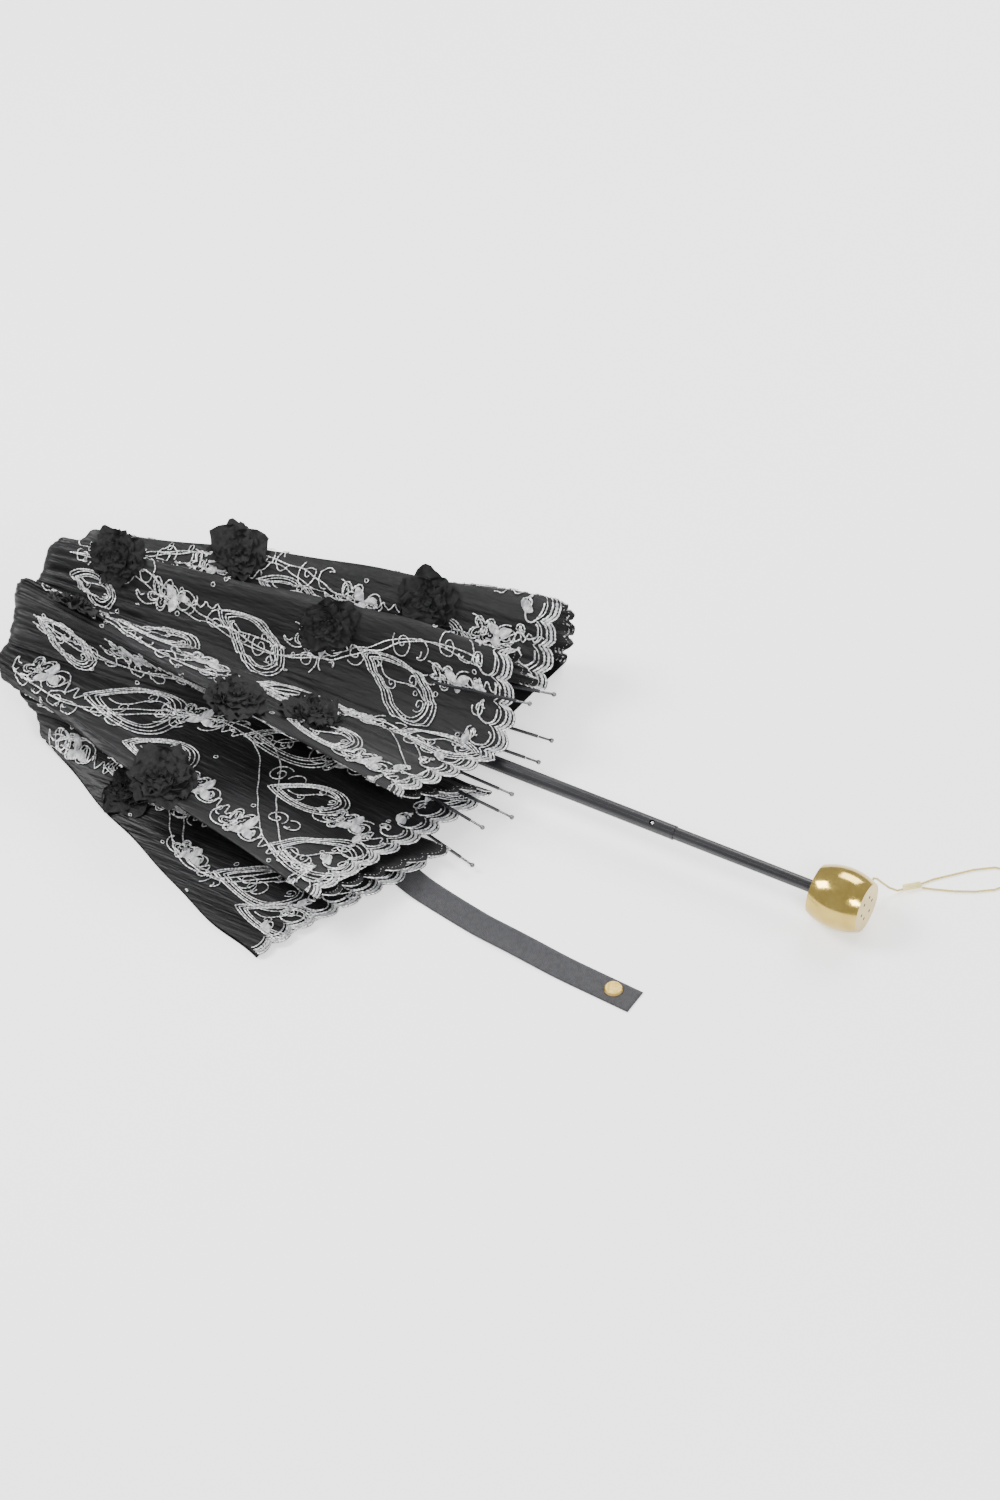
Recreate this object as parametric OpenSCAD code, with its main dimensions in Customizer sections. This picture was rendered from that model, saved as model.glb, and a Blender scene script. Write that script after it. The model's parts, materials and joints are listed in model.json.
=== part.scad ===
// Folding lace parasol, closed and lying loose: +X runs along the shaft from the
// canopy to the knob, +Z is up, and the origin is the middle of the knob's end face.
// Stations written as x are counted from the folded end of the canopy.

/* [Shaft] */
// Distance from the folded end of the canopy to the knob's end face
shaft_len = 595; // [580:1:610]
// Outer radius of the upper tube
outer_r = 4.7; // [4.6:0.05:5]
// Radius of the upper tube's bore
outer_bore_r = 4.25; // [4.24:0.01:4.3]
// Outer radius of the lower tube that slides inside it
inner_r = 4.2; // [4.1:0.01:4.2]
// Bore radius of the lower tube
inner_bore_r = 3.6; // [3.2:0.1:3.7]
// Station where the upper tube ends
outer_end = 458; // [450:1:470]
// Depth of the six grooves formed in each tube
groove_depth = 0.22; // [0.1:0.01:0.25]

/* [Knob] */
// Length of the knob along the shaft
knob_len = 35; // [32:1:38]
// Largest radius of the knob
knob_r = 20.5; // [19:0.5:20.5]
// Radius of the knob at its two ends
knob_end_r = 16.5; // [15:0.5:18]

/* [Frame] */
// Radius of the ring of rib elbows
elbow_ring_r = 9.5; // [9.5:0.1:10]
// Side of a rib's square section
rib_w = 1.5; // [1.2:0.1:1.6]
// Radius of the ball on each rib tip
tip_r = 1.6; // [1.4:0.1:1.8]

/* [Strap] */
// Width of the tie strap
strap_w = 19; // [17:0.5:20]
// Thickness of the tie strap
strap_t = 1.2; // [1:0.1:1.4]
// Radius of the snap cap
snap_r = 6.1; // [5.5:0.1:6.5]

/* [Wrist cord] */
// Diameter of the wrist cord
cord_d = 1.4; // [1.2:0.1:1.5]

/* [Hidden] */
$fn = 48;
floor_z = -knob_r;
ferrule_x = 182;
notch_x = 190;
notch_r = 7.6;
runner_x = 236;
runner_len = 26;
runner_r = 7.6;
elbow_x = 84;
shaft_gap = 0.3;
lock_x = 444;
lock_tilt = 25;
lock_r = 1.6;
lock_hole_r = 1.7;
knob_x = shaft_len - knob_len;
plate_t = 2.4;
plate_r = 15.5;
eyelet_r = 1.85;
eyelet_from = 16.2;
// Angle round the shaft of each rib's elbow
elbow_angle = [45, 0, -45, 270, 180, 135, 225, 90];
// Tip of each rib: station, then Y and Z
tips = [
    [352, 40, 37], [352, 37, -4], [352, 19, -7], [352, -18, -1],
    [362, -37, 1], [352, -58, 7], [352, -72, -15], [345, 20, 44]
];
// The canopy's outline at its folded end and at its hem: far floor edge, then ridges and
// valleys in turn over the top, then the near floor edge
fold_ring = [
    [44, 36, -18], [38, 34, 20], [35, 20, 48], [26, 4, 54], [25, -14, 72], [20, -32, 60],
    [17, -51, 60], [22, -74, 40], [28, -97, 28], [45, -98, 4], [70, -104, -18]
];
hem_ring = [
    [322, 112, -19], [326, 118, 14], [322, 100, 50], [314, 72, 38], [320, 40, 62], [308, -12, 42],
    [306, -82, 40], [288, -110, 12], [288, -163, 12], [270, -168, -8], [266, -201, -19]
];
ring_centre = [0, -30, 14];
wall_share = 0.93;
ring_count = 9;
// The wrist cord's route, from the knob's end plate to the stopper and round the loop
cord_route = [
    [-6, 19.2, 3], [-6, 22, 3], [-5, 25, 0], [-3, 29, -7], [0, 33, -14], [4, 37, -18.8],
    [7, 41, -19.6], [10, 45, -19.6], [14, 49, -19.6], [20, 57, -19.6], [29, 66, -19.6], [39, 76, -19.6],
    [50, 84, -19.6], [58, 86, -19.6], [63, 82, -19.6], [64, 75, -19.6], [58, 67, -19.6],
    [48, 60, -19.6], [36, 54, -19.6], [24, 49.5, -19.6], [16.5, 47, -19.6]
];
stopper_from = [6.3, 40.2, -18.2];
stopper_to = [15.5, 48.4, -18.2];
stopper_r = 2.3;
// The strap's middle line on the floor, station and Y
strap_route = [[286, -84], [300, -91], [330, -101], [380, -111], [440, -118], [494, -122]];
snap_at = [477, -119];
socket_at = [297, -89.5];

function lerp(a, b, t) = a + (b - a) * t;
function ring_point(ring, index, share) =
    lerp([0, ring_centre[1], ring_centre[2]], [0, ring[index][1], ring[index][2]], share)
    + [ring[index][0], 0, 0];
function canopy_ring(t, share) = [
    for (k = [0:len(hem_ring) - 1])
        lerp(ring_point(fold_ring, k, share), ring_point(hem_ring, k, share), t)
];

module place() { translate([-shaft_len, 0, 0]) children(); }

module along(from, to) {
    way = to - from;
    length = norm(way);
    translate(from)
        rotate([0, acos(way[2] / length), atan2(way[1], way[0])]) children();
}

module bar(from, to, side) {
    along(from, to) translate([-side / 2, -side / 2, 0]) cube([side, side, norm(to - from)]);
}

module grooved(radius, depth) {
    difference() {
        circle(r = radius);
        for (k = [0:5]) rotate(k * 60 + 30) translate([radius + 1.2 - depth, 0]) circle(r = 1.2);
    }
}

module tube(from, to, radius, bore) {
    translate([from, 0, 0]) rotate([0, 90, 0]) linear_extrude(to - from) difference() {
        grooved(radius, groove_depth);
        circle(r = bore);
    }
}

module ring_part(from, length, radius, bore) {
    translate([from, 0, 0]) rotate([0, 90, 0]) difference() {
        cylinder(r = radius, h = length);
        translate([0, 0, -1]) cylinder(r = bore, h = length + 2);
    }
}

module canopy() {
    count = len(hem_ring);
    start_in = 0.03;
    steps = [for (k = [0:ring_count - 1]) k / (ring_count - 1)];
    outer = [for (t = steps) each canopy_ring(t, 1)];
    inner = [for (t = steps) each canopy_ring(max(t, start_in), wall_share)];
    inner_at = count * ring_count;
    last = count * (ring_count - 1);
    sides = [
        for (r = [0:ring_count - 2], k = [0:count - 1])
            let (a = r * count + k, b = r * count + (k + 1) % count)
            each [[a, b, b + count], [a, b + count, a + count]]
    ];
    liner = [for (f = sides) [f[0] + inner_at, f[2] + inner_at, f[1] + inner_at]];
    rim = [
        for (k = [0:count - 1])
            let (a = last + k, b = last + (k + 1) % count)
            each [[a, b, b + inner_at], [a, b + inner_at, a + inner_at]]
    ];
    outer_cap = [for (k = [count - 1:-1:0]) k];
    inner_cap = [for (k = [0:count - 1]) inner_at + k];
    color("#141416") place()
        polyhedron(concat(outer, inner), concat(sides, liner, rim, [outer_cap], [inner_cap]));
}

module ferrule_cap() {
    color("#202022") place() translate([ferrule_x, 0, 0]) rotate([0, 90, 0])
        cylinder(r1 = 4.8, r2 = 5.6, h = notch_x - ferrule_x);
}

module notch_hub() { color("#2a2a2c") place() ring_part(notch_x, 10, notch_r, outer_r); }

module notch_wire() {
    color("silver") place() translate([notch_x + 11, 0, 0]) rotate([0, 90, 0])
        rotate_extrude() translate([6.2, 0]) circle(r = 0.5);
}

module outer_tube() {
    color("#1c1c1e") place() difference() {
        tube(notch_x, outer_end, outer_r, outer_bore_r);
        translate([lock_x, 0, 0]) rotate([lock_tilt, 0, 0]) cylinder(r = lock_hole_r + 0.2, h = outer_r + 1);
    }
}

module inner_tube() {
    color("#1c1c1e") place() difference() {
        tube(outer_end - 120, knob_x + 22, inner_r, inner_bore_r);
        translate([lock_x, 0, 0]) rotate([lock_tilt, 0, 0]) cylinder(r = lock_hole_r, h = outer_r);
    }
}

module tube_collar() {
    color("#1c1c1e") place() ring_part(outer_end, 1.6, outer_r + 0.1, outer_bore_r + 0.02);
}

module runner() {
    color("#2a2a2c") place() {
        ring_part(runner_x, 8, runner_r, outer_r + shaft_gap);
        ring_part(runner_x + 8, runner_len - 8, runner_r - 1.4, outer_r + shaft_gap);
    }
}

module runner_wire() {
    color("silver") place() translate([runner_x - 1, 0, 0]) rotate([0, 90, 0])
        rotate_extrude() translate([6.2, 0]) circle(r = 0.5);
}

module lock_ball() {
    color("white") place() translate([lock_x, 0, 0]) rotate([lock_tilt, 0, 0])
        translate([0, 0, inner_r - lock_r - 0.02]) sphere(r = lock_r);
}

module lock_spring() {
    color("silver") place() translate([lock_x - 9, -1.2, -3.0]) cube([26, 2.4, 0.5]);
}

module knob_shell() {
    crown = knob_r - knob_end_r;
    half = knob_len / 2;
    arc_r = (half * half + crown * crown) / (2 * crown);
    color("#c8a948") place() translate([knob_x, 0, 0]) rotate([0, 90, 0]) difference() {
        rotate_extrude($fn = 96) intersection() {
            translate([knob_r - arc_r, half]) circle(r = arc_r, $fn = 200);
            square([knob_r + 1, knob_len]);
        }
        translate([0, 0, -1]) cylinder(r = 6.5, h = knob_len + 2);
        translate([0, 0, knob_len - plate_t]) cylinder(r = plate_r, h = plate_t + 1);
        translate([-cord_route[0][2], 0, knob_len + cord_route[0][0]]) rotate([-90, 0, 0])
            translate([0, 0, eyelet_from - 0.1]) cylinder(r = eyelet_r + 0.02, h = 8);
    }
}

module knob_end_plate() {
    color("#b8973c") place() translate([shaft_len - plate_t, 0, 0]) rotate([0, 90, 0])
        difference() {
            cylinder(r = plate_r - 0.05, h = plate_t);
            for (k = [0:5]) rotate(k * 60 + 30) translate([7.4, 0, -1]) cylinder(r = 1.1, h = plate_t + 2);
        }
}

module knob_sleeve() { color("#3a3a3c") place() ring_part(knob_x, 24, 6.4, inner_r); }

module knob_pin() {
    color("silver") place() translate([knob_x + 12, 0, -3.5]) cylinder(r = 0.9, h = 7);
}

module cord_eyelet() {
    color("#c8a948") place() translate([shaft_len + cord_route[0][0], 0, cord_route[0][2]])
        rotate([-90, 0, 0]) difference() {
            translate([0, 0, eyelet_from]) cylinder(r = eyelet_r, h = cord_route[0][1] - eyelet_from);
            translate([0, 0, cord_route[0][1] - 1.5]) cylinder(r = cord_d / 2 + 0.25, h = 2);
        }
}

module wrist_cord() {
    sides = 8;
    count = len(cord_route);
    points = [
        for (k = [0:count - 1])
            let (ahead = cord_route[min(k + 1, count - 1)], back = cord_route[max(k - 1, 0)])
            let (way = (ahead - back) / norm(ahead - back))
            let (side = cross(way, [0, 0, 1]) / norm(cross(way, [0, 0, 1])), up = cross(side, way))
            for (j = [0:sides - 1])
                cord_route[k] + cord_d / 2 * (side * cos(j * 360 / sides) + up * sin(j * 360 / sides))
    ];
    walls = [
        for (k = [0:count - 2], j = [0:sides - 1])
            let (a = k * sides + j, b = k * sides + (j + 1) % sides)
            each [[a, b, b + sides], [a, b + sides, a + sides]]
    ];
    start_cap = [for (j = [sides - 1:-1:0]) j];
    end_cap = [for (j = [0:sides - 1]) (count - 1) * sides + j];
    color("#e8dd9a") polyhedron(points, concat(walls, [start_cap], [end_cap]));
}

module cord_stopper() {
    color("#eadf9c") along(stopper_from, stopper_to)
        cylinder(r = stopper_r, h = norm(stopper_to - stopper_from));
}

module strap() {
    color("#3c3c42") place() translate([0, 0, floor_z]) linear_extrude(strap_t)
        for (k = [0:len(strap_route) - 2]) {
            way = strap_route[k + 1] - strap_route[k];
            aside = [-way[1], way[0]] / norm(way) * strap_w / 2;
            polygon([
                strap_route[k] - aside, strap_route[k + 1] - aside,
                strap_route[k + 1] + aside, strap_route[k] + aside
            ]);
        }
}

module snap_cap() {
    color("#d8b850") place() translate([snap_at[0], snap_at[1], floor_z + strap_t])
        cylinder(r1 = snap_r, r2 = snap_r - 0.8, h = 1.4);
}

module snap_socket() {
    color("#d8b850") place() translate([socket_at[0], socket_at[1], floor_z + strap_t])
        cylinder(r = 4, h = 1);
}

function elbow(index, radius, x) =
    [x, radius * cos(elbow_angle[index]), radius * sin(elbow_angle[index])];

module elbow_pins() {
    color("silver") place() for (k = [0:7])
        translate(elbow(k, elbow_ring_r, elbow_x - 3)) rotate([elbow_angle[k], 0, 0])
            translate([0, 0, -1.4]) cylinder(r = 0.8, h = 2.8);
}

module rib(index) {
    start = elbow(index, elbow_ring_r, elbow_x);
    color("#2a2a2e") place() bar(start, lerp(start, tips[index], 0.965), rib_w);
}

module rib_tip(index) {
    start = elbow(index, elbow_ring_r, elbow_x);
    color("#909094") place() {
        along(lerp(start, tips[index], 0.967), tips[index]) cylinder(r = 0.75, h = norm(tips[index] - start) * 0.033);
        translate(tips[index]) sphere(r = tip_r);
    }
}

module inner_rib(index) {
    color("#2a2a2e") place()
        bar(elbow(index, elbow_ring_r - 3, elbow_x), elbow(index, elbow_ring_r - 3, notch_x - 10), 1.3);
}

module stretcher(index) {
    angle = elbow_angle[index] + 22;
    reach = 6.6;
    start = [130, reach * cos(angle), reach * sin(angle)];
    color("#2a2a2e") place() bar(start, start + [46, 0, 0], 1.1);
}

canopy();
ferrule_cap();
notch_hub();
notch_wire();
outer_tube();
inner_tube();
tube_collar();
runner();
runner_wire();
lock_ball();
lock_spring();
knob_shell();
knob_end_plate();
knob_sleeve();
knob_pin();
cord_eyelet();
wrist_cord();
cord_stopper();
strap();
snap_cap();
snap_socket();
elbow_pins();
rib(0);  // rib_1
rib(1);  // rib_2
rib(2);  // rib_3
rib(3);  // rib_4
rib(4);  // rib_5
rib(5);  // rib_6
rib(6);  // rib_7
rib(7);  // rib_8
rib_tip(0);  // rib_tip_1
rib_tip(1);  // rib_tip_2
rib_tip(2);  // rib_tip_3
rib_tip(3);  // rib_tip_4
rib_tip(4);  // rib_tip_5
rib_tip(5);  // rib_tip_6
rib_tip(6);  // rib_tip_7
rib_tip(7);  // rib_tip_8
inner_rib(0);  // inner_rib_1
inner_rib(1);  // inner_rib_2
inner_rib(2);  // inner_rib_3
inner_rib(3);  // inner_rib_4
inner_rib(4);  // inner_rib_5
inner_rib(5);  // inner_rib_6
inner_rib(6);  // inner_rib_7
inner_rib(7);  // inner_rib_8
stretcher(0);  // stretcher_1
stretcher(1);  // stretcher_2
stretcher(2);  // stretcher_3
stretcher(3);  // stretcher_4
stretcher(4);  // stretcher_5
stretcher(5);  // stretcher_6
stretcher(6);  // stretcher_7
stretcher(7);  // stretcher_8
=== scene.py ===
"""Folding lace parasol, lying closed and loose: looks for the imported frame."""
import json
import math
import random

import bpy
import numpy as np
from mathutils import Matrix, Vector


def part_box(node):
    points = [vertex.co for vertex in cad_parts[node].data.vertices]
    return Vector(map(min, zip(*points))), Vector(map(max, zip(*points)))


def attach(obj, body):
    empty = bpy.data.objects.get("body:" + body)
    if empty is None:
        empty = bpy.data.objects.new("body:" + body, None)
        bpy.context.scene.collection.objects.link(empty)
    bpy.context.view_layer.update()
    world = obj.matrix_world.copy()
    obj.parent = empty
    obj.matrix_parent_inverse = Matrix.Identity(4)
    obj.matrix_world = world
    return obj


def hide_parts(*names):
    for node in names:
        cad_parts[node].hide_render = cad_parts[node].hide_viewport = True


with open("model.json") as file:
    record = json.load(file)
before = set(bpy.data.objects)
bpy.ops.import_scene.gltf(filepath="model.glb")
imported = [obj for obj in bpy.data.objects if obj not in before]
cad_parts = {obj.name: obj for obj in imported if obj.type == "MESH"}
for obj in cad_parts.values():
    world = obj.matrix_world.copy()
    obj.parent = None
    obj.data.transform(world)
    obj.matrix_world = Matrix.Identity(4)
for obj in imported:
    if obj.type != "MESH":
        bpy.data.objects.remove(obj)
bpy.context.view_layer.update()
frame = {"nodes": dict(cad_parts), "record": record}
random.seed(7)

MM = 0.001
# x of the frame's origin in millimetres, counted from the folded end
SHAFT_LEN = 595.0
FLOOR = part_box("strap")[0][2]
FLOOR_MM = FLOOR / MM
BODY = "canopy_frame"
LOWER = "lower_shaft"

# ---------------------------------------------------------------- camera
AZIMUTH = math.radians(27.7)
ELEVATION = math.radians(48)
CAMERA_FAR = 6.0
VIEW_HEIGHT = 0.975
SENSOR = 36
# The middle of the view, from the shaft's folded end, in metres
VIEW_RIGHT = 0.2958
VIEW_DOWN = 0.106
RIGHT = Vector((math.cos(AZIMUTH), math.sin(AZIMUTH), 0))
BACK = Vector((math.sin(AZIMUTH) * math.cos(ELEVATION),
               -math.cos(AZIMUTH) * math.cos(ELEVATION), math.sin(ELEVATION)))
UP = BACK.cross(RIGHT)


def make_camera():
    data = bpy.data.cameras.new("camera")
    data.sensor_width = SENSOR
    data.lens = SENSOR * CAMERA_FAR / VIEW_HEIGHT
    camera = bpy.data.objects.new("camera", data)
    bpy.context.collection.objects.link(camera)
    target = Vector((-SHAFT_LEN * MM, 0, 0)) + RIGHT * VIEW_RIGHT - UP * VIEW_DOWN
    camera.location = target + BACK * CAMERA_FAR
    camera.rotation_mode = "QUATERNION"
    camera.rotation_quaternion = (-BACK).to_track_quat("-Z", "Y")
    data.clip_end = 5 * CAMERA_FAR
    bpy.context.scene.camera = camera


make_camera()


# ---------------------------------------------------------------- materials
class Paint:
    """A node material with short calls for the nodes that the finishes share."""

    def __init__(self, name, color, rough, metal=0.0):
        self.material = bpy.data.materials.new(name)
        self.material.use_nodes = True
        self.tree = self.material.node_tree
        self.shader = self.tree.nodes["Principled BSDF"]
        self.shader.inputs["Base Color"].default_value = (*color, 1)
        self.shader.inputs["Roughness"].default_value = rough
        self.shader.inputs["Metallic"].default_value = metal

    def node(self, kind, **inputs):
        made = self.tree.nodes.new(kind)
        for name, value in inputs.items():
            made.inputs[name].default_value = value
        return made

    def link(self, a, b):
        self.tree.links.new(a, b)

    def coords(self, scale=(1, 1, 1)):
        where = self.node("ShaderNodeTexCoord")
        mapping = self.node("ShaderNodeMapping", Scale=scale)
        self.link(where.outputs["Object"], mapping.inputs["Vector"])
        return mapping.outputs["Vector"]

    def noise(self, scale, detail=4.0, stretch=(1, 1, 1)):
        texture = self.node("ShaderNodeTexNoise", Scale=scale, Detail=detail)
        self.link(self.coords(stretch), texture.inputs["Vector"])
        return texture.outputs["Fac"]

    def ramp(self, value, low, high, start=0.3, end=0.7):
        ramp = self.node("ShaderNodeValToRGB")
        ramp.color_ramp.elements[0].position = start
        ramp.color_ramp.elements[1].position = end
        ramp.color_ramp.elements[0].color = (*low, 1)
        ramp.color_ramp.elements[1].color = (*high, 1)
        self.link(value, ramp.inputs["Fac"])
        return ramp.outputs["Color"]

    def color(self, value, low, high, start=0.3, end=0.7):
        self.link(self.ramp(value, low, high, start, end), self.shader.inputs["Base Color"])

    def rough(self, value, low, high):
        self.link(self.ramp(value, (low,) * 3, (high,) * 3), self.shader.inputs["Roughness"])

    def bump(self, value, strength, distance):
        bump = self.node("ShaderNodeBump", Strength=strength, Distance=distance)
        previous = self.shader.inputs["Normal"].links
        if previous:
            self.link(previous[0].from_socket, bump.inputs["Normal"])
        self.link(value, bump.inputs["Height"])
        self.link(bump.outputs["Normal"], self.shader.inputs["Normal"])

    def weave(self, scale, rotation):
        mapping = self.node("ShaderNodeMapping", Rotation=(0, 0, rotation))
        where = self.node("ShaderNodeTexCoord")
        self.link(where.outputs["Object"], mapping.inputs["Vector"])
        wave = self.node("ShaderNodeTexWave", Scale=scale, Distortion=0.6)
        self.link(mapping.outputs["Vector"], wave.inputs["Vector"])
        return wave.outputs["Fac"]


def satin():
    paint = Paint("black_satin", (0.012, 0.012, 0.013), 0.42)
    paint.color(paint.noise(38, stretch=(0.25, 1, 1)), (0.002, 0.002, 0.0022), (0.009, 0.009, 0.01))
    paint.rough(paint.noise(60, stretch=(0.3, 1, 1)), 0.36, 0.6)
    paint.shader.inputs["Specular IOR Level"].default_value = 0.3
    paint.shader.inputs["Sheen Weight"].default_value = 0.02
    paint.shader.inputs["Sheen Roughness"].default_value = 0.4
    paint.bump(paint.noise(260, 3, (0.12, 1, 1)), 0.7, 0.002)
    paint.bump(paint.noise(900, 4, (0.25, 1, 1)), 0.5, 0.0004)
    return paint.material


def lining():
    paint = Paint("lining", (0.008, 0.008, 0.009), 0.55)
    paint.color(paint.noise(90), (0.004, 0.004, 0.004), (0.016, 0.016, 0.017))
    paint.bump(paint.noise(200, 3, (0.1, 1, 1)), 0.4, 0.001)
    return paint.material


def silver_thread():
    paint = Paint("silver_thread", (0.62, 0.62, 0.64), 0.32, 0.65)
    paint.color(paint.noise(700, 2), (0.2, 0.2, 0.21), (0.95, 0.95, 0.96), 0.36, 0.6)
    paint.bump(paint.noise(1500, 2), 0.6, 0.0003)
    return paint.material


def white_satin_stitch():
    paint = Paint("satin_stitch", (0.75, 0.75, 0.77), 0.35, 0.25)
    paint.color(paint.noise(420, 2, (1, 0.3, 1)), (0.32, 0.32, 0.34), (0.93, 0.93, 0.95))
    paint.bump(paint.weave(1400, 0.8), 0.7, 0.0003)
    return paint.material


def petal_cloth():
    paint = Paint("petal_cloth", (0.012, 0.012, 0.013), 0.72)
    paint.color(paint.noise(220), (0.002, 0.002, 0.002), (0.01, 0.01, 0.011))
    paint.shader.inputs["Specular IOR Level"].default_value = 0.26
    paint.shader.inputs["Sheen Weight"].default_value = 0.04
    paint.bump(paint.noise(600, 4), 0.5, 0.0006)
    return paint.material


def ribbon():
    paint = Paint("ribbon", (0.055, 0.055, 0.064), 0.55)
    paint.color(paint.noise(300), (0.022, 0.022, 0.026), (0.042, 0.042, 0.049))
    paint.shader.inputs["Sheen Weight"].default_value = 0.1
    paint.bump(paint.weave(1100, 1.57), 0.6, 0.0003)
    return paint.material


def gold():
    paint = Paint("gold_plate", (0.68, 0.5, 0.19), 0.14, 1.0)
    paint.color(paint.noise(55), (0.42, 0.3, 0.075), (0.55, 0.41, 0.12))
    paint.rough(paint.noise(420), 0.08, 0.22)
    paint.bump(paint.noise(90, 2), 0.08, 0.0008)
    return paint.material


def brushed_gold():
    paint = Paint("gold_snap", (0.8, 0.62, 0.26), 0.3, 1.0)
    paint.color(paint.noise(320), (0.62, 0.42, 0.09), (0.85, 0.62, 0.2))
    paint.bump(paint.noise(800), 0.3, 0.0004)
    return paint.material


def tube_black():
    paint = Paint("satin_black_tube", (0.03, 0.03, 0.034), 0.3)
    paint.color(paint.noise(160, 3, (0.1, 1, 1)), (0.008, 0.008, 0.01), (0.02, 0.02, 0.023))
    paint.rough(paint.noise(300, 3, (0.08, 1, 1)), 0.2, 0.38)
    paint.bump(paint.noise(1600, 2), 0.12, 0.0002)
    return paint.material


def plastic_black():
    paint = Paint("black_plastic", (0.02, 0.02, 0.022), 0.45)
    paint.rough(paint.noise(240), 0.36, 0.55)
    paint.bump(paint.noise(1300, 3), 0.2, 0.0003)
    return paint.material


def steel():
    paint = Paint("bright_steel", (0.85, 0.85, 0.86), 0.12, 1.0)
    paint.rough(paint.noise(500), 0.08, 0.2)
    return paint.material


def nickel():
    paint = Paint("dark_nickel", (0.16, 0.16, 0.17), 0.3, 0.9)
    paint.color(paint.noise(500), (0.1, 0.1, 0.105), (0.24, 0.24, 0.25))
    return paint.material


def cream_cord():
    paint = Paint("cream_cord", (0.78, 0.7, 0.34), 0.6)
    paint.color(paint.weave(1500, 0.7), (0.55, 0.42, 0.1), (0.85, 0.74, 0.32))
    paint.bump(paint.weave(1500, 0.7), 0.6, 0.0003)
    return paint.material


def cream_plastic():
    paint = Paint("cream_plastic", (0.86, 0.76, 0.4), 0.28)
    paint.color(paint.noise(120), (0.7, 0.58, 0.2), (0.85, 0.74, 0.36))
    paint.shader.inputs["Subsurface Weight"].default_value = 0.15
    return paint.material


M = {
    "satin": satin(), "lining": lining(), "silver": silver_thread(),
    "stitch": white_satin_stitch(), "petal": petal_cloth(), "ribbon": ribbon(), "gold": gold(),
    "snap": brushed_gold(), "tube": tube_black(), "plastic": plastic_black(), "steel": steel(),
    "nickel": nickel(), "cord": cream_cord(), "stopper": cream_plastic(),
}
SLOT_PAINT = {
    "lace": "satin", "ribbon": "ribbon", "gold": "gold", "cord": "cord", "stopper": "stopper",
    "steel": "steel", "tip_metal": "nickel", "black_plastic": "plastic", "black_paint": "tube",
}


def paint_cad_nodes():
    """Gives each CAD node the finish of its slot, and the two halves of the snap their own."""
    paints = {s["node"]: SLOT_PAINT[s["material_slot"]] for s in frame["record"]["subparts"]}
    paints.update(snap_cap="snap", snap_socket="plastic")
    for name, node in frame["nodes"].items():
        node.data.materials.clear()
        node.data.materials.append(M[paints[name]])


paint_cad_nodes()


# ---------------------------------------------------------------- mesh helpers
def make_mesh(name, vertices, faces, paint, body=BODY):
    """A piece from vertices in millimetres, whose x is counted from the folded end."""
    mesh = bpy.data.meshes.new(name)
    mesh.from_pydata([((v[0] - SHAFT_LEN) * MM, v[1] * MM, v[2] * MM) for v in vertices], [], faces)
    mesh.materials.append(M[paint])
    for polygon in mesh.polygons:
        polygon.use_smooth = True
    mesh.update()
    piece = bpy.data.objects.new(name, mesh)
    bpy.context.collection.objects.link(piece)
    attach(piece, body)
    return piece


def grid_faces(rows, columns, closed=False, first=0):
    """Quads over rows of vertices that start at first; closed joins each row's ends."""
    wrap = columns if closed else columns - 1
    return [
        (first + r * columns + c, first + r * columns + (c + 1) % columns,
         first + (r + 1) * columns + (c + 1) % columns, first + (r + 1) * columns + c)
        for r in range(rows - 1) for c in range(wrap)
    ]


# ---------------------------------------------------------------- wrist cord
CORD_D = 1.4
CORD_ROUTE = [
    (-6, 19.2, 3), (-6, 22, 3), (-5, 25, 0), (-3, 29, -7), (0, 33, -14), (4, 37, -18.8),
    (7, 41, -19.6), (10, 45, -19.6), (14, 49, -19.6), (20, 57, -19.6), (29, 66, -19.6), (39, 76, -19.6),
    (50, 84, -19.6), (58, 86, -19.6), (63, 82, -19.6), (64, 75, -19.6), (58, 67, -19.6),
    (48, 60, -19.6), (36, 54, -19.6), (24, 49.5, -19.6), (16.5, 47, -19.6),
]
STOPPER_R = 2.25
STOPPER_GROOVE = 0.1
STOPPER_ENDS = ((6.3, 40.2, -18.2), (15.5, 48.4, -18.2))


def make_cord():
    curve = bpy.data.curves.new("wrist_cord_braid", "CURVE")
    curve.dimensions = "3D"
    spline = curve.splines.new("POLY")
    spline.points.add(len(CORD_ROUTE) - 1)
    for point, place in zip(spline.points, CORD_ROUTE):
        point.co = (*[c * MM for c in place], 1)
    curve.bevel_depth = CORD_D / 2 * MM
    curve.bevel_resolution = 4
    curve.materials.append(M["cord"])
    cord = bpy.data.objects.new("wrist_cord_braid", curve)
    bpy.context.collection.objects.link(cord)
    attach(cord, LOWER)
    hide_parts("wrist_cord")
    make_stopper()


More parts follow.
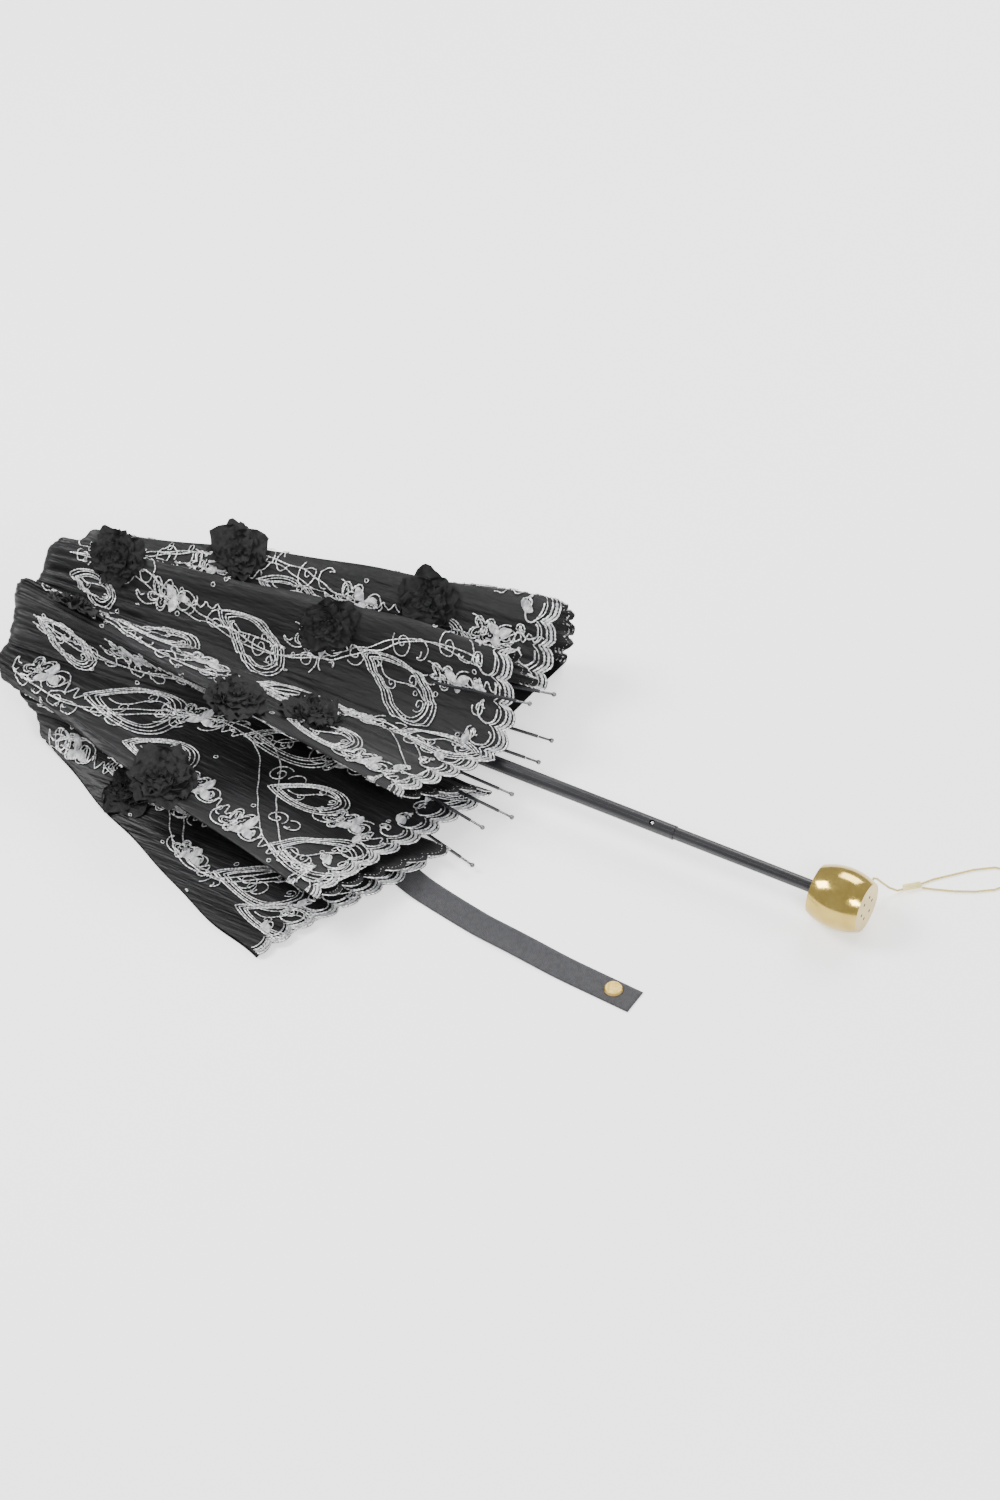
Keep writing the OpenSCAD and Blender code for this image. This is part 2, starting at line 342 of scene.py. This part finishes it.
def make_stopper():
    """A barrel-shaped bead with shallow grooves round it."""
    start, end = (Vector(p) + Vector((SHAFT_LEN, 0, 0)) for p in STOPPER_ENDS)
    way = (end - start).normalized()
    side = way.cross(Vector((0, 0, 1))).normalized()
    lift = side.cross(way)
    rows, sides = 25, 20
    vertices = []
    for r in range(rows):
        t = r / (rows - 1)
        barrel = min(1, (1 - abs(2 * t - 1) ** 6) ** 0.5 + 0.35)
        groove = 1 - STOPPER_GROOVE * (0.5 + 0.5 * math.cos(t * 50))
        radius = STOPPER_R * barrel * groove
        for k in range(sides):
            a = 2 * math.pi * k / sides
            vertices.append(start.lerp(end, t) + (side * math.cos(a) + lift * math.sin(a)) * radius)
    faces = grid_faces(rows, sides, True)
    faces.append(tuple(range(sides - 1, -1, -1)))
    faces.append(tuple(range((rows - 1) * sides, rows * sides)))
    piece = make_mesh("stopper_bead", vertices, faces, "stopper", LOWER)
    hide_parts("cord_stopper")
    return piece


make_cord()

# ---------------------------------------------------------------- canopy surface
# Ring points at the folded end and at the hem: far floor edge, ridges and valleys, near floor edge
FOLD = np.array([
    (44, 36, -18), (36, 36, 14), (33, 22, 46), (26, 2, 50), (22, -14, 65), (22, -36, 48),
    (17, -51, 60), (24, -76, 36), (26, -98, 28), (46, -96, 2), (66, -108, -17)], float)
HEM = np.array([
    (322, 112, -19), (328, 114, 14), (326, 100, 50), (334, 60, 14), (322, 42, 58), (335, 2, 12),
    (308, -84, 40), (338, -22, -5), (290, -163, 14), (334, -68, -14), (266, -201, -17)], float)
SPANS = len(HEM) - 1
CANOPY_Y = -30.0
BELLY = 7.0
# Depths of the long, middle and fine creases and of the slack dimples, in millimetres
LONG_CREASE, MIDDLE_CREASE, FINE_CREASE, DIMPLE = 1.5, 0.9, 0.5, 1.2
CLOTH_LIFT = 0.6


def around(ring, k):
    """Catmull-Rom through a ring's points at k, from 0 to SPANS."""
    k = min(max(k, 0.0), SPANS - 1e-6)
    i = int(k)
    f = k - i
    p0, p1, p2, p3 = (ring[min(max(i + d, 0), SPANS)] for d in (-1, 0, 1, 2))
    return 0.5 * (2 * p1 + (p2 - p0) * f + (2 * p0 - 5 * p1 + 4 * p2 - p3) * f ** 2
                  + (3 * p1 - p0 - 3 * p2 + p3) * f ** 3)


def surface(t, k):
    """A point of the canopy, t from 0 at the fold to 1 at the hem, in millimetres."""
    a, b = around(FOLD, k), around(HEM, k)
    belly = BELLY * math.sin(math.pi * min(max(t, 0), 1)) * (0.5 + 0.5 * math.cos(math.pi * k))
    p = a + (b - a) * t
    centre = np.array([p[0], CANOPY_Y, 0.0])
    out = p - centre
    out /= max(np.linalg.norm(out), 1e-6)
    crease = (LONG_CREASE * math.sin(9.3 * k + 2.2 * t)
              + MIDDLE_CREASE * math.sin(23 * k + 5 * math.sin(3 * t)))
    crease += (FINE_CREASE * math.sin(51 * k + 9 * t)
               + DIMPLE * math.sin(6 * t + 3.1 * k) * math.sin(17 * t + k))
    p = p + out * (belly * 0.6 + crease)
    p[2] = max(p[2], FLOOR_MM + CLOTH_LIFT)
    return p


def normal_at(t, k, step=0.004):
    along = surface(t + step, k) - surface(t - step, k)
    across = surface(t, min(k + step * 6, SPANS)) - surface(t, max(k - step * 6, 0))
    n = np.cross(across, along)
    return n / max(np.linalg.norm(n), 1e-9)


SCALLOP = 17.0
SCALLOP_DEEP = 0.02
HEM_T = 0.985
HEM_K = np.linspace(0, SPANS, 600)
HEM_POINTS = np.array([surface(HEM_T, k) for k in HEM_K])
HEM_REACH = np.concatenate([[0], np.cumsum(np.linalg.norm(np.diff(HEM_POINTS, axis=0), axis=1))])


def scallop(k):
    """How far the hem runs out at k: a row of round scallops, as a share of the canopy's length."""
    reach = np.interp(k, HEM_K, HEM_REACH)
    return SCALLOP_DEEP * abs(math.sin(math.pi * reach / SCALLOP)) ** 0.6


# The cloth at the folded end: drawn in towards its middle, bulging out, then tucked under
DRAWN_IN = 0.72
BULGE = 9
TUCK = 34
FOLD_MIDDLE_Z = 14.0


def make_canopy():
    """The pleated cloth from the tuck at the folded end to the scalloped hem."""
    rows, columns = 84, 520
    vertices = []
    ks = np.interp(np.linspace(0, HEM_REACH[-1], columns), HEM_REACH, HEM_K)
    fold_rows = 12
    for r in range(fold_rows):
        s = 1 - r / fold_rows
        for k in ks:
            p = surface(0.0, k)
            q = np.array([p[0], CANOPY_Y, FOLD_MIDDLE_Z])
            p = q + (p - q) * (1 - DRAWN_IN * s * s)
            p[0] += -BULGE * math.sin(math.pi * s) + TUCK * s ** 3
            vertices.append(p)
    for r in range(rows):
        t = r / (rows - 1)
        for k in ks:
            vertices.append(surface(t * (HEM_T + scallop(k)), k))
    return make_mesh("canopy_cloth", vertices, grid_faces(fold_rows + rows, columns), "satin")


UNDER_LIFT = 0.7
UNDER_WAVE = 2.2


def make_under():
    """The fabric that lies on the floor under the shaft."""
    rows, columns = 60, 90
    vertices = []
    for r in range(rows):
        t = r / (rows - 1)
        a, b = surface(t, SPANS), surface(t, 0)
        for c in range(columns):
            f = c / (columns - 1)
            p = a + (b - a) * f
            wave = UNDER_WAVE * (0.5 + 0.5 * math.sin(40 * f + 3 * t)) * math.sin(math.pi * f)
            p[2] = FLOOR_MM + UNDER_LIFT + wave
            vertices.append(p)
    make_mesh("canopy_underside", vertices, grid_faces(rows, columns), "satin")


# The inner folds: least radius, depth of the flutes, and start and length along the shaft
INNER_R = 9.5
FLUTE = 8
INNER_START = 44
INNER_LONG = 276


def make_inner():
    """The dark inner folds, gathered in a fluted tube round the shaft."""
    folds, rows = 16, 40
    columns = folds * 6
    vertices = []
    for r in range(rows):
        t = 0.2 + 0.76 * r / (rows - 1)
        for c in range(columns):
            a = 2 * math.pi * c / columns
            reach = INNER_R + FLUTE * t * (0.5 + 0.5 * math.cos(folds * a))
            vertices.append((INNER_START + INNER_LONG * t, reach * math.cos(a), reach * math.sin(a)))
    inner = make_mesh("canopy_inner_folds", vertices, grid_faces(rows, columns), "lining")
    for vertex in inner.data.vertices:
        vertex.co.z = max(vertex.co.z, FLOOR + 2 * CLOTH_LIFT * MM)


canopy = make_canopy()
make_under()
make_inner()
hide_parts("canopy")


# ---------------------------------------------------------------- embroidery
class Thread:
    """Gathers thin tubes laid on the canopy into one piece."""

    SIDES = 5

    def __init__(self, name, paint):
        self.name, self.paint = name, paint
        self.vertices, self.faces = [], []

    def lay(self, places, radius, lift=0.9, twist=True):
        """places are (t, k) on the canopy; twist ribs the tube like a twisted thread."""
        points = [surface(t, k) for t, k in places]
        normals = [normal_at(t, k) for t, k in places[::4]]
        count = len(points)
        for i, p in enumerate(points):
            n = normals[min(i // 4, len(normals) - 1)]
            way = points[min(i + 1, count - 1)] - points[max(i - 1, 0)]
            way /= max(np.linalg.norm(way), 1e-9)
            side = np.cross(way, n)
            side /= max(np.linalg.norm(side), 1e-9)
            size = radius * (0.62 + 0.38 * (i % 2) if twist else 1)
            for j in range(self.SIDES):
                a = 2 * math.pi * j / self.SIDES
                self.vertices.append(p + n * lift + (side * math.cos(a) + n * math.sin(a) * 0.7) * size)
        first = len(self.vertices) - count * self.SIDES
        self.faces += grid_faces(count, self.SIDES, True, first)

    def finish(self):
        return make_mesh(self.name, self.vertices, self.faces, self.paint)


def resample(points, step):
    """Points of an outline in millimetres, evenly spaced."""
    points = np.array(points, float)
    gaps = np.linalg.norm(np.diff(points, axis=0), axis=1)
    reach = np.concatenate([[0], np.cumsum(gaps)])
    count = max(int(reach[-1] / step), 3)
    stations = np.linspace(0, reach[-1], count)
    return np.stack([np.interp(stations, reach, points[:, i]) for i in (0, 1)], 1)


def spiral(turns, size, start=0.15):
    angles = np.linspace(0, 2 * math.pi * turns, 60)
    radius = size * (start + (1 - start) * angles / angles[-1])
    return [(r * math.cos(a), r * math.sin(a)) for r, a in zip(radius, angles)]


def teardrop(length, width, bend=0.25):
    out = []
    for a in np.linspace(0, 2 * math.pi, 70):
        x = length / 2 * (1 - math.cos(a))
        y = width / 2 * math.sin(a) * math.sin(a / 2) ** 0.8
        out.append((x, y + bend * width * (x / length) ** 2))
    return out


def flower(size):
    return [
        (size * (0.45 + 0.55 * abs(math.cos(2.5 * a))) * math.cos(a),
         size * (0.45 + 0.55 * abs(math.cos(2.5 * a))) * math.sin(a))
        for a in np.linspace(0, 2 * math.pi, 90)
    ]


def circle(size):
    return [(size * math.cos(a), size * math.sin(a)) for a in np.linspace(0, 2 * math.pi, 24)]


def hook(size):
    bow = [(size * math.cos(a), size * math.sin(a)) for a in np.linspace(-2.4, 2.0, 40)]
    return bow + [(x * 0.35 + bow[-1][0] * 0.55, y * 0.35 + bow[-1][1] * 0.55) for x, y in bow[::-1][:22]]


def squiggle(length, width, loops):
    return [
        (length * f, width * math.sin(2 * math.pi * loops * f) * (1 - 0.3 * f))
        for f in np.linspace(0, 1, 90)
    ]


silver = Thread("silver_embroidery", "silver")
stitch = Thread("satin_stitch_leaves", "stitch")


def put(thread, outline, t, k, angle=0.0, radius=0.55, step=0.95, twist=True):
    """Lays an outline, in millimetres, on the canopy round (t, k), turned by angle."""
    reach_t = np.linalg.norm(surface(t + 0.01, k) - surface(t - 0.01, k)) / 0.02
    c, s = math.cos(angle), math.sin(angle)
    width_k = np.linalg.norm(around_span(t, k))
    places = []
    for x, y in resample(outline, step):
        dx, dy = c * x - s * y, s * x + c * y
        places.append((t + dx / reach_t, k + dy / width_k))
    places = [(min(max(a, 0.005), 1.0), min(max(b, 0.02), SPANS - 0.02)) for a, b in places]
    thread.lay(places, radius, twist=twist)


def around_span(t, k):
    """How far the canopy's surface moves for one step of k, near (t, k)."""
    lo, hi = max(k - 0.35, 0), min(k + 0.35, SPANS)
    return (surface(t, hi) - surface(t, lo)) / (hi - lo)


def paisley(t, k, angle, size):
    """Nested teardrop outlines round a vine with small curls along it."""
    for share, radius in ((1.0, 0.6), (0.9, 0.42), (0.78, 0.6), (0.7, 0.4)):
        outline = [(x + size * (1 - share) * 0.5, y) for x, y in teardrop(size * share, size * 0.6 * share)]
        put(silver, outline, t, k, angle, radius)
    vine = [(size * (0.24 + 0.62 * f), size * 0.05 * math.sin(7 * f)) for f in np.linspace(0, 1, 30)]
    put(silver, vine, t, k, angle, 0.5)
    for n, f in enumerate((0.42, 0.6, 0.78)):
        curl = [(x * 0.8 + f * size, y * 0.8 + 0.08 * size * (-1) ** n) for x, y in spiral(1.3, size * 0.075)]
        put(silver, curl, t, k, angle, 0.42)


def leaf(t, k, angle, length, width):
    """A leaf filled with close rows of satin stitch."""
    for row in np.linspace(-1, 1, 7):
        outline = [(length * f, row * width / 2 * math.sin(math.pi * f)) for f in np.linspace(0, 1, 12)]
        put(stitch, outline, t, k, angle, 0.75, 1.3, False)


def blossom(t, k, size):
    put(silver, flower(size), t, k, 0.3, 0.6)
    put(silver, flower(size * 0.82), t, k, 0.3, 0.35)
    put(silver, circle(size * 0.22), t, k, 0, 0.5)
    for petal in range(5):
        put(silver, squiggle(size * 0.62, 0.9, 3), t, k, petal * 2 * math.pi / 5 + 0.3, 0.3)


def vine_k(t, face, strand=0):
    """Where the winding stem on a pleat's face crosses t."""
    return face + 0.5 + 0.32 * math.sin(8 * t + strand * 0.3 + face) + 0.03 * strand


def vine_run(face):
    """A winding stem of two strands down a pleat's face, with curls off it."""
    for strand, radius in enumerate((0.62, 0.5)):
        places = [(t, vine_k(t, face, strand)) for t in np.linspace(0.03, 0.93, 360)]
        silver.lay(places, radius)
    for n in range(9):
        t = 0.06 + 0.1 * n
        k = vine_k(t, face)
        put(silver, spiral(1.5, 7.0), t, k, n * 1.3 + face, 0.5)
        put(silver, hook(5.0), t + 0.04, k, n * 0.9, 0.5)


def spray(t, k, turn):
    """A blossom with leaves, a scroll and a squiggle beside it."""
    blossom(t, k, 9.5)
    for n in range(3):
        leaf(t + 0.03, k, turn + 2.1 * n, 9, 4.5)
    put(silver, hook(8), t - 0.03, k, turn + 1.2)
    put(silver, squiggle(30, 3.2, 4), t + 0.03, k, turn * 0.2)


MOTIF_ROWS = (0.04, 0.2, 0.36, 0.52, 0.67, 0.81)
MOTIF_WIDE = 44
PAISLEY_LEAST, PAISLEY_MOST = 32, 60
DOTS = 16


def embroider():
    """Rows of paisleys and sprays in turn on every pleat's face, with dots between them."""
    for face in range(SPANS):
        vine_run(face)
        for row, t in enumerate(MOTIF_ROWS):
            width = np.linalg.norm(surface(t, face + 1) - surface(t, face))
            count = max(1, int(width / MOTIF_WIDE + 0.5))
            for n in range(count):
                k = face + (n + 0.5) / count
                turn = 0.35 * (-1) ** (row + n) + 0.1 * random.uniform(-1, 1)
                if (row + n + face) % 2 == 0:
                    paisley(t, k, turn, min(max(1.3 * width / count, PAISLEY_LEAST), PAISLEY_MOST))
                else:
                    spray(t + 0.04, k, turn)
                    put(silver, spiral(2, 8), t + 0.09, k, row, 0.55)
        for _ in range(DOTS):
            place = (0.04 + 0.92 * random.random(), face + random.random())
            put(silver, circle(1.3), *place, 0, 0.35, 0.8)


# Distance in from the hem as a share of the canopy's length, radius, and thread of each band
HEM_BANDS = ((0.003, 0.8, silver), (0.011, 1.25, stitch), (0.02, 0.9, silver), (0.032, 0.5, silver))
HEM_STITCH = 1.1
# Where the hooks, curls and leaves above the hem stand, as t
HOOK_T, CURL_T, LEAF_T = 0.945, 0.925, 0.915


def hem_band():
    """Scalloped bands of thick stitching along the hem, with scrolls between."""
    count = int(HEM_REACH[-1] / HEM_STITCH)
    ks = np.interp(np.linspace(1, HEM_REACH[-1] - 1, count), HEM_REACH, HEM_K)
    for inset, radius, thread in HEM_BANDS:
        places = [(HEM_T + scallop(k) - inset, k) for k in ks]
        thread.lay(places, radius, 0.7)
    for n in range(int(HEM_REACH[-1] / SCALLOP)):
        k = float(np.interp((n + 0.5) * SCALLOP, HEM_REACH, HEM_K))
        put(silver, hook(6.2), HOOK_T, k, 1.5 + 0.3 * (n % 3), 0.75)
        put(silver, spiral(1.3, 4.2), CURL_T, k, n)
        if n % 2:
            leaf(LEAF_T, k, 0.4 * (n % 4), 9, 4)


embroider()
hem_band()
silver_piece = silver.finish()
stitch_piece = stitch.finish()


# ---------------------------------------------------------------- rosettes
# Petals, reach as a share of the rosette's size, and tilt in radians, from the outer ring in
PETAL_RINGS = ((13, 1.0, 0.03), (11, 0.8, 0.22), (8, 0.58, 0.5), (5, 0.34, 0.9))
PETAL_CELLS = 7
PETAL_WIDE = 0.5
PETAL_BASE = 1.8
RING_STEP = 1.1


def rosette(index, t, k, size):
    """A ruffled cloth flower of four rings of cupped petals."""
    vertices, faces = [], []
    p, n = surface(t, k), normal_at(t, k)
    side = np.cross(n, [0, 0, 1.0])
    side /= max(np.linalg.norm(side), 1e-6)
    other = np.cross(n, side)
    for ring, (count, reach, tilt) in enumerate(PETAL_RINGS):
        for petal in range(count):
            turn = 2 * math.pi * petal / count + ring * 0.4 + random.uniform(-0.15, 0.15)
            lean = tilt + random.uniform(-0.15, 0.15)
            out = side * math.cos(turn) + other * math.sin(turn)
            wide = np.cross(n, out)
            length = size * reach * random.uniform(0.75, 1.2)
            first = len(vertices)
            for i in range(PETAL_CELLS):
                f = i / (PETAL_CELLS - 1)
                for j in range(PETAL_CELLS):
                    g = 2 * j / (PETAL_CELLS - 1) - 1
                    notch = random.uniform(-0.1, 0.08) if i == PETAL_CELLS - 1 else 0
                    width = length * PETAL_WIDE * math.sin(math.pi * min(0.12 + 0.62 * f, 1)) * g
                    height = math.sin(lean) * f * length + 1.6 * g * g + random.uniform(-0.7, 0.7) * f
                    ruffle = (1.9 * math.sin(8 * g + turn * 3) + random.uniform(-1.3, 1.3)) * f
                    q = out * (math.cos(lean) * f * length * (1 - 0.22 * g * g + notch)) + wide * width
                    vertices.append(p + q + n * (PETAL_BASE + ring * RING_STEP + height * 0.36 + ruffle))
            faces += grid_faces(PETAL_CELLS, PETAL_CELLS, False, first)
    piece = make_mesh(f"rosette_{index}", vertices, faces, "petal")
    for vertex in piece.data.vertices:
        vertex.co.z = max(vertex.co.z, FLOOR + CLOTH_LIFT * MM)


# Place (t, k) and size in millimetres of each rosette
ROSETTES = [
    (0.3, 2.2, 20), (0.72, 2.3, 20), (0.13, 4.1, 18), (0.6, 4.3, 20), (0.13, 5.9, 19), (0.68, 5.5, 20),
    (0.56, 5.95, 21), (0.5, 7.85, 22), (0.3, 9.6, 18), (0.45, 0.9, 19), (0.75, 1.0, 19),
]
for number, (rosette_t, rosette_k, rosette_size) in enumerate(ROSETTES):
    rosette(number + 1, rosette_t, rosette_k, rosette_size)


# ---------------------------------------------------------------- tie strap
STRAP_ROUTE = np.array([(286, -84), (300, -91), (330, -101), (380, -111), (440, -118), (494, -122)], float)
STRAP_W = 19.0
STRAP_THICK = 0.6
STRAP_LIFT = 0.65
# Heights in millimetres: raised edges, the lift of one edge near the hem, a long wave, a pressed line
STRAP_CUP, STRAP_TILT, STRAP_WAVE, EDGE_SINK = 0.5, 5.0, 0.35, 0.12
# Past this share of its length the strap lies flat under the snap
SNAP_SHARE = 0.78


def make_strap():
    """A ribbon from under the hem to its free end on the floor, with a pressed line by each edge."""
    rows, columns = 120, 13
    gaps = np.linalg.norm(np.diff(STRAP_ROUTE, axis=0), axis=1)
    reach = np.concatenate([[0], np.cumsum(gaps)])
    stations = np.linspace(0, reach[-1], rows)
    line = np.stack([np.interp(stations, reach, STRAP_ROUTE[:, i]) for i in (0, 1)], 1)
    for _ in range(12):
        line[1:-1] = (line[:-2] + line[2:] + 2 * line[1:-1]) / 4
    vertices = []
    for i, (x, y) in enumerate(line):
        way = line[min(i + 1, rows - 1)] - line[max(i - 1, 0)]
        way /= np.linalg.norm(way)
        f = i / (rows - 1)
        for j in range(columns):
            g = 2 * j / (columns - 1) - 1
            rise = (STRAP_CUP * g * g + STRAP_TILT * max(0, 0.5 - f) ** 2 * (1 + g)
                    + STRAP_WAVE * math.sin(14 * f))
            edge = EDGE_SINK if abs(abs(g) - 0.83) < 0.09 else 0
            vertices.append((x - way[1] * g * STRAP_W / 2, y + way[0] * g * STRAP_W / 2,
                             FLOOR_MM + STRAP_LIFT + max(rise, 0) * (f < SNAP_SHARE) - edge))
    strap = make_mesh("strap_ribbon", vertices, grid_faces(rows, columns), "ribbon")
    thick = strap.modifiers.new("thickness", "SOLIDIFY")
    thick.thickness = STRAP_THICK * MM
    thick.offset = 0
    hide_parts("strap")


make_strap()


# ---------------------------------------------------------------- floor and light
FLOOR_HALF = 6
LIGHT_AIM = Vector((-0.35, -0.02, 0))


def make_floor():
    mesh = bpy.data.meshes.new("floor")
    corners = [(x * FLOOR_HALF, y * FLOOR_HALF, FLOOR) for x, y in ((-1, -1), (1, -1), (1, 1), (-1, 1))]
    mesh.from_pydata(corners, [], [(0, 1, 2, 3)])
    paint = Paint("white_table", (0.97, 0.97, 0.97), 0.7)
    paint.rough(paint.noise(4), 0.55, 0.7)
    paint.shader.inputs["Emission Color"].default_value = (1, 1, 1, 1)
    paint.shader.inputs["Emission Strength"].default_value = 0.8
    mesh.materials.append(paint.material)
    floor = bpy.data.objects.new("floor", mesh)
    bpy.context.collection.objects.link(floor)


def area_light(name, place, size, power):
    data = bpy.data.lights.new(name, "AREA")
    data.energy = power
    data.size = size
    light = bpy.data.objects.new(name, data)
    light.location = place
    aim = LIGHT_AIM - Vector(place)
    light.rotation_mode = "QUATERNION"
    light.rotation_quaternion = aim.to_track_quat("-Z", "Y")
    bpy.context.collection.objects.link(light)


def make_light():
    world = bpy.data.worlds.new("studio")
    bpy.context.scene.world = world
    world.use_nodes = True
    background = world.node_tree.nodes["Background"]
    background.inputs["Color"].default_value = (1, 1, 1, 1)
    background.inputs["Strength"].default_value = 0.75
    area_light("soft_left", (-1.3, -0.3, 1.3), 0.7, 34)
    area_light("soft_right", (0.7, -0.9, 1.2), 0.5, 20)
    area_light("soft_back", (-0.2, 1.2, 1.1), 0.8, 20)


make_floor()
make_light()
